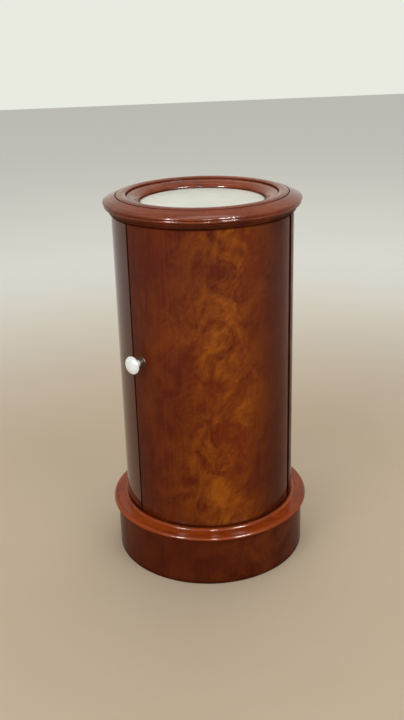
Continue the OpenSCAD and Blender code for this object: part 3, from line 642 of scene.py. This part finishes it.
veined = blend_colours(tree, calc(tree, "MULTIPLY", calc(tree, "MULTIPLY", vein, fading), 0.55),
                       body, colour(156, 158, 152))
old = aged(tree, place, 0.1)
out = place_group(tree, unrolled, Place=place, Radius=drum_radius)["Out"]
# A band round the marble's edge, beside the ring, is made darker.
rim = place_group(tree, soft_line, Value=out, At=marble_radius, Half_width=5 * mm)["Line"]
rim_darkened = blend_colours(tree, calc(tree, "MULTIPLY", rim, 0.35), veined, colour(150, 138, 120))
rings = ease(tree, noise(tree, place, 34.0, 2.0, 0.5, 1.2), 0.62, 0.75, 0.0, 0.25)
stained = blend_colours(tree, rings, rim_darkened, colour(204, 196, 180))
tree.links.new(stained, shader.inputs["Base Color"])
tree.links.new(ease(tree, old["Uneven"], 0.3, 0.7, 0.30, 0.34), shader.inputs["Roughness"])
bump(tree, shader, old["Ripple"], 0.00001)
print("made", marble_finish.name)

# %% [markdown]
# **Porcelain.** The knob's head is glazed white, with the faintest clouding and crazing under
# the glaze. Glaze is a smooth clear coat over a body that scatters light, so the clouding goes
# into the body and the coat stays even. The edges of a Voronoi pattern draw the crazing.

# %% Finish: porcelain
porcelain_finish, tree, shader, place = start_finish("porcelain", Coat_Weight=0.7,
                                                     Coat_Roughness=0.03,
                                                     Specular_IOR_Level=0.5)
clouds = noise(tree, place, 90.0, 3.0, 0.5)
body = blend_colours(tree, ease(tree, clouds, 0.35, 0.7), colour(244, 246, 247),
                     colour(234, 236, 235))
craze_cell = add(tree, "ShaderNodeTexVoronoi", {"Vector": place, "Scale": 210.0},
                 feature="DISTANCE_TO_EDGE").outputs["Distance"]
craze = calc(tree, "MULTIPLY", ease(tree, craze_cell, 0.0, 0.03, 1.0, 0.0),
             ease(tree, noise(tree, place, 60.0, 2.0), 0.5, 0.7, 0.0, 0.3))
tree.links.new(blend_colours(tree, craze, body, colour(198, 188, 168)),
               shader.inputs["Base Color"])
tree.links.new(ease(tree, clouds, 0.3, 0.7, 0.10, 0.18), shader.inputs["Roughness"])
bump(tree, shader, clouds, 0.00003)
print("made", porcelain_finish.name)

# %% [markdown]
# **Brass and steel.** The brass has gone brown in patches, and the steel is dull. One recipe
# serves all three metals: cloudy noise mixes the bright metal with the dull, drawn-out noise
# gives fine lines, and the dark spots are oxide, so they lower Metallic too.

# %% Finish: metal


def old_metal(name, bright, dull, stain, metallic, roughness):
    material, tree, shader, place = start_finish(name)
    old = aged(tree, place, 0.2)
    cloud = noise(tree, place, 160.0, 4.0, 0.6, 0.4)
    spots = ease(tree, noise(tree, place, 520.0, 2.0), 0.58, 0.7, 0.0, 0.6)
    body = blend_colours(tree, ease(tree, cloud, 0.35, 0.65), bright, dull)
    spotted = blend_colours(tree, calc(tree, "MULTIPLY", spots, 0.5), body, stain)
    tree.links.new(spotted, shader.inputs["Base Color"])
    tree.links.new(calc(tree, "SUBTRACT", metallic, calc(tree, "MULTIPLY", spots, 0.4)),
                   shader.inputs["Metallic"])
    tree.links.new(ease(tree, cloud, 0.3, 0.7, roughness - 0.08, roughness + 0.14),
                   shader.inputs["Roughness"])
    lines = noise(tree, stretched(tree, place, (1.0, 1.0, 0.08)), 2600.0, 1.0)
    height = calc(tree, "ADD", calc(tree, "MULTIPLY", cloud, 0.6),
                  calc(tree, "MULTIPLY", lines, 0.25))
    bump(tree, shader, height, 0.00004)
    return material


brass_finish = old_metal("aged brass", colour(150, 118, 66), colour(104, 78, 44),
                         colour(52, 38, 24), 0.92, 0.34)
dark_brass_finish = old_metal("dark brass", colour(74, 60, 44), colour(46, 37, 28),
                              colour(26, 21, 17), 0.8, 0.46)
steel_finish = old_metal("dull steel", colour(150, 146, 140), colour(112, 106, 100),
                         colour(74, 56, 44), 0.9, 0.4)
print("made the metals")

# %% [markdown]
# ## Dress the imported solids
# Every solid keeps its mesh and place, and only its material slots are filled. The table says
# which finish each one takes, and a solid that it leaves out is brass.

# %% Hand out the finishes
finishes = {
    "door_veneer": door_finish, "carcase_veneer": drum_finish, "plinth_veneer": plinth_finish,
    "top_ring": ring_finish, "base_moulding": base_finish, "marble_top": marble_finish,
    "knob_head": porcelain_finish, "knob_ferrule": dark_brass_finish,
    "knob_rose": dark_brass_finish, "rose_pins": dark_brass_finish,
}
for name in ("hinge_stile", "latch_stile", "door_hanging_stile", "door_closing_stile"):
    finishes[name] = stile_finish
for name in ("floor_board", "shelf", "top_board"):
    finishes[name] = board_finish
for name in ("plinth_staves", "plinth_glue_blocks", "carcase_staves", "shelf_bearers",
             "top_glue_blocks", "door_stops", "door_staves"):
    finishes[name] = stave_finish
for name in ("base_screws", "floor_screws", "ring_screws", "bearer_screws", "lower_pin",
             "upper_pin", "knob_spindle"):
    finishes[name] = steel_finish
for name, solid in nodes.items():
    finish = finishes.get(name, brass_finish)
    for material_slot in solid.material_slots:
        material_slot.material = finish
print("dressed", len(nodes), "solids")

# %% [markdown]
# ## Small pieces
# Two details are finer than the solid model: the putty round the marble, and the eased edges
# and odd slot angles of the small screws. Geometry Nodes sweep the putty and set the screws.
# These helpers open a tree with named inputs, end it with real geometry and its finish, and
# turn what it grows into a plain mesh.

# %% Helpers for Geometry Nodes


def open_tree(name, inputs):
    tree = bpy.data.node_groups.new(name, "GeometryNodeTree")
    tree.interface.new_socket(name="Geometry", in_out="INPUT",
                              socket_type="NodeSocketGeometry")
    for label, (kind, default) in inputs.items():
        socket = tree.interface.new_socket(name=label, in_out="INPUT", socket_type=kind)
        if default is not None:
            socket.default_value = default
    tree.interface.new_socket(name="Geometry", in_out="OUTPUT",
                              socket_type="NodeSocketGeometry")
    return tree, tree.nodes.new("NodeGroupInput").outputs, tree.nodes.new("NodeGroupOutput").inputs


def end_tree(tree, geometry, result, material):
    """Every tree ends the same way: real geometry, with its finish."""
    real = add(tree, "GeometryNodeRealizeInstances", {"Geometry": geometry})
    done = add(tree, "GeometryNodeSetMaterial", {"Geometry": real.outputs[0],
                                                 "Material": material})
    tree.links.new(done.outputs[0], result["Geometry"])


def grow(name, tree, start_mesh, values, material):
    """Runs a tree on a mesh, with its inputs set by identifier, and keeps a plain mesh."""
    source = bpy.data.objects.new(name + "_start", start_mesh)
    bpy.context.scene.collection.objects.link(source)
    modifier = source.modifiers.new("grow", "NODES")
    modifier.node_group = tree
    for item in tree.interface.items_tree:
        if item.in_out == "INPUT" and item.name in values:
            modifier[item.identifier] = values[item.name]
    graph = bpy.context.evaluated_depsgraph_get()
    mesh = bpy.data.meshes.new_from_object(source.evaluated_get(graph))
    source.modifiers.clear()
    bpy.data.objects.remove(source)
    piece = bpy.data.objects.new(name, mesh)
    bpy.context.scene.collection.objects.link(piece)
    piece.data.materials.clear()
    piece.data.materials.append(material)
    print("grew", name, "with", len(mesh.polygons), "faces")
    return piece


# %% [markdown]
# **The bedding line.** The marble lies in a bed of old putty, which shows as a thin dark line
# round it. What follows a path starts from a curve: a circle is swept with a small round
# section, and the two radii and the height are the named inputs of the tree.

# %% Piece: bedding line
putty_finish, tree, shader, place = start_finish("old putty", Roughness=0.7)
crumbs = noise(tree, place, 700.0, 3.0)
tree.links.new(blend_colours(tree, crumbs, colour(58, 38, 26), colour(104, 82, 60)),
               shader.inputs["Base Color"])
bump(tree, shader, crumbs, 0.0002)

tree, given, result = open_tree("swept ring", {"Ring radius": (FLOAT, 0.1175),
                                               "Section radius": (FLOAT, 0.0006),
                                               "Height": (FLOAT, 0.7)})
path = add(tree, "GeometryNodeCurvePrimitiveCircle", {"Resolution": 160,
                                                      "Radius": given["Ring radius"]})
section = add(tree, "GeometryNodeCurvePrimitiveCircle", {"Resolution": 10,
                                                         "Radius": given["Section radius"]})
swept = add(tree, "GeometryNodeCurveToMesh", {"Curve": path.outputs["Curve"],
                                              "Profile Curve": section.outputs["Curve"]})
lift = add(tree, "ShaderNodeCombineXYZ", {"Z": given["Height"]}).outputs[0]
raised = add(tree, "GeometryNodeTransform", {"Geometry": swept.outputs[0], "Translation": lift})
smooth = add(tree, "GeometryNodeSetShadeSmooth", {"Geometry": raised.outputs[0]})
end_tree(tree, smooth.outputs[0], result, putty_finish)
bedding = grow("marble_bedding", tree, bpy.data.meshes.new("empty"),
               {"Ring radius": marble_radius - 0.1 * mm, "Section radius": 0.55 * mm,
                "Height": marble_high.z - 0.75 * mm}, putty_finish)
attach(bedding, "carcase")

# %% [markdown]
# **Hinge and keeper screws.** Two sizes of small brass screw hold the hinge plates and the
# keeper. A real one is turned from rod and its slot is sawn, and the mesh is made in the same
# order: an outline spun round the axis, a slot cut across the head, then the edges eased.

# %% Mesh: one countersunk screw


def turned_mesh(name, outline, steps=40):
    """A solid of revolution about Z from (radius, height) points, closed on the axis."""
    shape = bmesh.new()
    points = [shape.verts.new((radius, 0, height)) for radius, height in outline]
    edges = [shape.edges.new(pair) for pair in zip(points, points[1:])]
    bmesh.ops.spin(shape, geom=points + edges, cent=(0, 0, 0), axis=(0, 0, 1),
                   angle=2 * math.pi, steps=steps, use_merge=True)
    bmesh.ops.remove_doubles(shape, verts=shape.verts, dist=1e-6)
    bmesh.ops.recalc_face_normals(shape, faces=shape.faces)
    mesh = bpy.data.meshes.new(name)
    shape.to_mesh(mesh)
    shape.free()
    return mesh


def screw_mesh(name, length, shank, head):
    ease_by = 0.12 * mm
    blank = bpy.data.objects.new(name, turned_mesh(name, [
        (0, 0), (head - ease_by, 0), (head, -ease_by), (shank, shank - head),
        (shank, 2 * mm - length), (0, -length)]))
    slot = bpy.data.objects.new(name + "_slot", bpy.data.meshes.new(name + "_slot"))
    box = bmesh.new()
    bmesh.ops.create_cube(box, size=1, matrix=Matrix.Diagonal((3 * head, 0.7 * mm, 1.3 * mm, 1)))
    box.to_mesh(slot.data)
    box.free()
    for piece in (blank, slot):
        bpy.context.scene.collection.objects.link(piece)
    cut = blank.modifiers.new("slot", "BOOLEAN")
    cut.operation, cut.object, cut.solver = "DIFFERENCE", slot, "EXACT"
    soften = blank.modifiers.new("eased edges", "BEVEL")
    soften.width, soften.segments, soften.limit_method = 0.07 * mm, 2, "ANGLE"
    graph = bpy.context.evaluated_depsgraph_get()
    made = bpy.data.meshes.new_from_object(blank.evaluated_get(graph))
    for piece in (blank, slot):
        bpy.data.objects.remove(piece)
    return made


SCREW_LENGTH = 11 * mm
plate_screw = screw_mesh("plate_screw", SCREW_LENGTH, 1.4 * mm, 2.9 * mm)
keeper_screw = screw_mesh("keeper_screw", SCREW_LENGTH, 1.3 * mm, 2.6 * mm)
print("one screw has", len(plate_screw.polygons), "faces")

# %% [markdown]
# **Screws on points.** Where one shape comes again and again, a tree can set it on points. Each
# point stores the direction that its screw faces, and a seeded twist stops every slot at its own
# angle, as a screwdriver does.

# %% Tree: screws on points
tree, given, result = open_tree("screws on points", {
    "Screw": ("NodeSocketObject", None), "Twist": (FLOAT, math.pi),
    "Seed": ("NodeSocketInt", 3)})
aim = add(tree, "GeometryNodeInputNamedAttribute", {"Name": "aim"}, data_type="FLOAT_VECTOR")
pointing = add(tree, "FunctionNodeAlignRotationToVector", {"Vector": aim.outputs[0]}, axis="Z")
twist = add(tree, "FunctionNodeRandomValue", {"Seed": given["Seed"]}, data_type="FLOAT")
tree.links.new(given["Twist"], twist.inputs[3])
own_turn = add(tree, "FunctionNodeAxisAngleToRotation", {"Axis": (0, 0, 1),
                                                         "Angle": twist.outputs[1]})
both = add(tree, "FunctionNodeRotateRotation", {"Rotation": pointing.outputs[0],
                                                "Rotate By": own_turn.outputs[0]},
           rotation_space="LOCAL")
shape = add(tree, "GeometryNodeObjectInfo", {"Object": given["Screw"]})
dots = add(tree, "GeometryNodeMeshToPoints", {"Mesh": given["Geometry"]})
placed = add(tree, "GeometryNodeInstanceOnPoints", {
    "Points": dots.outputs[0], "Instance": shape.outputs["Geometry"],
    "Rotation": both.outputs[0]})
end_tree(tree, placed.outputs[0], result, brass_finish)
screws_on_points = tree
print("made tree", screws_on_points.name)

# %% [markdown]
# **Where the screws go.** Each of the four hinge plates takes two, in line behind its pin, and
# the keeper takes one above and one below the latch tongue. The sizes here are the ones that
# place the plain screws in the solid model, and each set takes the place of its plain set.
# The keeper lies from 0.3 degrees to 16 mm past the seam, so its middle takes half of each.

# %% Pieces: the screws of the hinge plates and of the keeper
WALL = 18 * mm
PIN_DEPTH = 6.5 * mm
PIN_FROM_SEAM = 10 * mm
PIN_RADIUS_AT = drum_radius - PIN_DEPTH
HINGE_SEAM = math.radians(-90 + DOOR_HALF_DEGREES)
LATCH_SEAM = math.radians(-90 - DOOR_HALF_DEGREES)
PIN_ANGLE = HINGE_SEAM - PIN_FROM_SEAM / PIN_RADIUS_AT
PLATE_LENGTH = 25 * mm
PLATE_LEAN = math.asin(PLATE_LENGTH / 2 / PIN_RADIUS_AT)
KNOB_HEIGHT = 0.448
KEEPER_NEAR_HALF = math.radians(0.15)
KEEPER_FAR_HALF = 8 * mm
KEEPER_SCREW_STEP = 14 * mm


def plate_points(heights_and_aims):
    pin = Vector((math.cos(PIN_ANGLE), math.sin(PIN_ANGLE), 0)) * PIN_RADIUS_AT
    lean = PIN_ANGLE - PLATE_LEAN
    back = Vector((math.sin(lean), -math.cos(lean), 0))
    return [(pin + back * along + Vector((0, 0, height)), Vector((0, 0, way)))
            for height, way in heights_and_aims
            for along in (PLATE_LENGTH / 2 + 0.5 * mm, PLATE_LENGTH)]


def keeper_points():
    inside = drum_radius - WALL
    middle = LATCH_SEAM - KEEPER_NEAR_HALF - KEEPER_FAR_HALF / inside
    out = Vector((math.cos(middle), math.sin(middle), 0))
    return [(out * inside + Vector((0, 0, KNOB_HEIGHT + step)), -out)
            for step in (-KEEPER_SCREW_STEP, KEEPER_SCREW_STEP)]


def place_screws(name, body, node, points, screw, seed):
    start = bpy.data.meshes.new(name)
    start.from_pydata([place for place, _ in points], [], [])
    stored = start.attributes.new("aim", "FLOAT_VECTOR", "POINT")
    for index, (_, way) in enumerate(points):
        stored.data[index].vector = way
    pattern = bpy.data.objects.new(name + "_pattern", screw)
    bpy.context.scene.collection.objects.link(pattern)
    piece = grow(name, screws_on_points, start, {"Screw": pattern, "Seed": seed}, brass_finish)
    bpy.data.objects.remove(pattern)
    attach(piece, body)
    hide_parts(node)


RING_Z, FLOOR_Z = ring_low.z, base_high.z
place_screws("fixed_plate_screws", "carcase", "pivot_plate_screws",
             plate_points([(FLOOR_Z, 1), (RING_Z, -1)]), plate_screw, 3)
place_screws("door_plate_screw_set", "door", "door_plate_screws",
             plate_points([(door_low.z, -1), (door_high.z, 1)]), plate_screw, 8)
place_screws("keeper_screw_pair", "carcase", "keeper_screws", keeper_points(), keeper_screw, 5)

# %% [markdown]
# ## Stage and light
# The floor is one large pale sheet. Its far edge shows as a line high behind the cupboard, in
# this camera's view too. It is quite matt, so it takes the soft shadow of the cupboard and
# mirrors no lamp. Its colour pales with the distance.

# %% Floor
floor_mesh = bpy.data.meshes.new("floor")
far = 9.0
floor_mesh.from_pydata([(-far, -far, 0), (far, -far, 0), (far, far, 0), (-far, far, 0)], [],
                       [(0, 1, 2, 3)])
floor = bpy.data.objects.new("floor", floor_mesh)
bpy.context.scene.collection.objects.link(floor)
floor_finish, tree, shader, place = start_finish("pale floor", Roughness=1.0,
                                                 Specular_IOR_Level=0.0)
near = blend_colours(tree, noise(tree, place, 3.0, 2.0), colour(192, 175, 151),
                     colour(199, 183, 160))
reach = add(tree, "ShaderNodeVectorMath", {0: place}, operation="LENGTH").outputs["Value"]
tree.links.new(blend_colours(tree, ease(tree, reach, 0.5, 2.4), near, colour(234, 234, 226)),
               shader.inputs["Base Color"])
floor_mesh.materials.append(floor_finish)
print("floor ready")

# %% [markdown]
# **The room.** The world does two jobs: polish mirrors it, and it fills the shadows. A Light
# Path node keeps the two apart. Camera, glossy and transmission rays meet a pale room, and the
# rays that carry its light meet a dimmer one, so the mahogany stays deep.

# %% World
world = bpy.data.worlds.new("pale room")
bpy.context.scene.world = world
world.use_nodes = True
tree = world.node_tree
tree.nodes.clear()
rays = add(tree, "ShaderNodeLightPath").outputs
seen = calc(tree, "MAXIMUM", calc(tree, "MAXIMUM", rays["Is Camera Ray"], rays["Is Glossy Ray"]),
            rays["Is Transmission Ray"])
quiet = add(tree, "ShaderNodeBackground", {"Color": (1.0, 0.99, 0.97, 1), "Strength": 0.6})
pale = add(tree, "ShaderNodeBackground", {"Color": colour(233, 235, 225), "Strength": 1.0})
mixed = add(tree, "ShaderNodeMixShader", {0: seen, 1: quiet.outputs[0], 2: pale.outputs[0]})
add(tree, "ShaderNodeOutputWorld", {"Surface": mixed.outputs[0]})
print("world ready")

# %% [markdown]
# **Lamps.** Two soft lamps in front and a large one above and behind give the light. Polish also
# wants small bright things to mirror, so three panes that light no matt surface draw the short
# strokes on the beads and the knob, and a long strip draws the pale band on the nose of the top.
# With the glints apart from the light, each can be set alone.

# %% Lamps


def lamp(name, azimuth, elevation, distance, width, height, power, lights=True, glints=True):
    """An area lamp, aimed at the middle of the drum. Azimuth 0 is in front of the door."""
    light = bpy.data.lights.new(name, "AREA")
    light.shape, light.size, light.size_y, light.energy = "RECTANGLE", width, height, power
    light.color = (1.0, 0.98, 0.95)
    thing = bpy.data.objects.new(name, light)
    bpy.context.scene.collection.objects.link(thing)
    a, e = math.radians(azimuth), math.radians(elevation)
    away = Vector((math.sin(a) * math.cos(e), -math.cos(a) * math.cos(e), math.sin(e)))
    thing.location = away * distance + Vector((0, 0, 0.4))
    thing.rotation_mode = "QUATERNION"
    thing.rotation_quaternion = away.to_track_quat("Z", "Y")
    thing.visible_diffuse = lights
    thing.visible_glossy = glints


lamp("soft left", -42, 34, 3.2, 1.5, 1.1, 27)
lamp("soft right", 34, 34, 3.2, 1.5, 1.1, 16)
lamp("soft overhead", 160, 62, 3.4, 2.6, 2.6, 30, glints=False)
lamp("left pane", -46, 30, 3.1, 0.6, 0.7, 280, lights=False)
lamp("middle pane", -3, 30, 3.1, 0.35, 0.7, 140, lights=False)
lamp("right pane", 31, 30, 3.1, 0.8, 0.7, 480, lights=False)
lamp("ceiling strip", 180, 72, 3.23, 4.5, 0.42, 27, lights=False)
print("lamps ready")

# %% [markdown]
# ## Finish
# The view transform is set to Standard.

# %% Set the view transform
bpy.context.scene.view_settings.view_transform = "Standard"
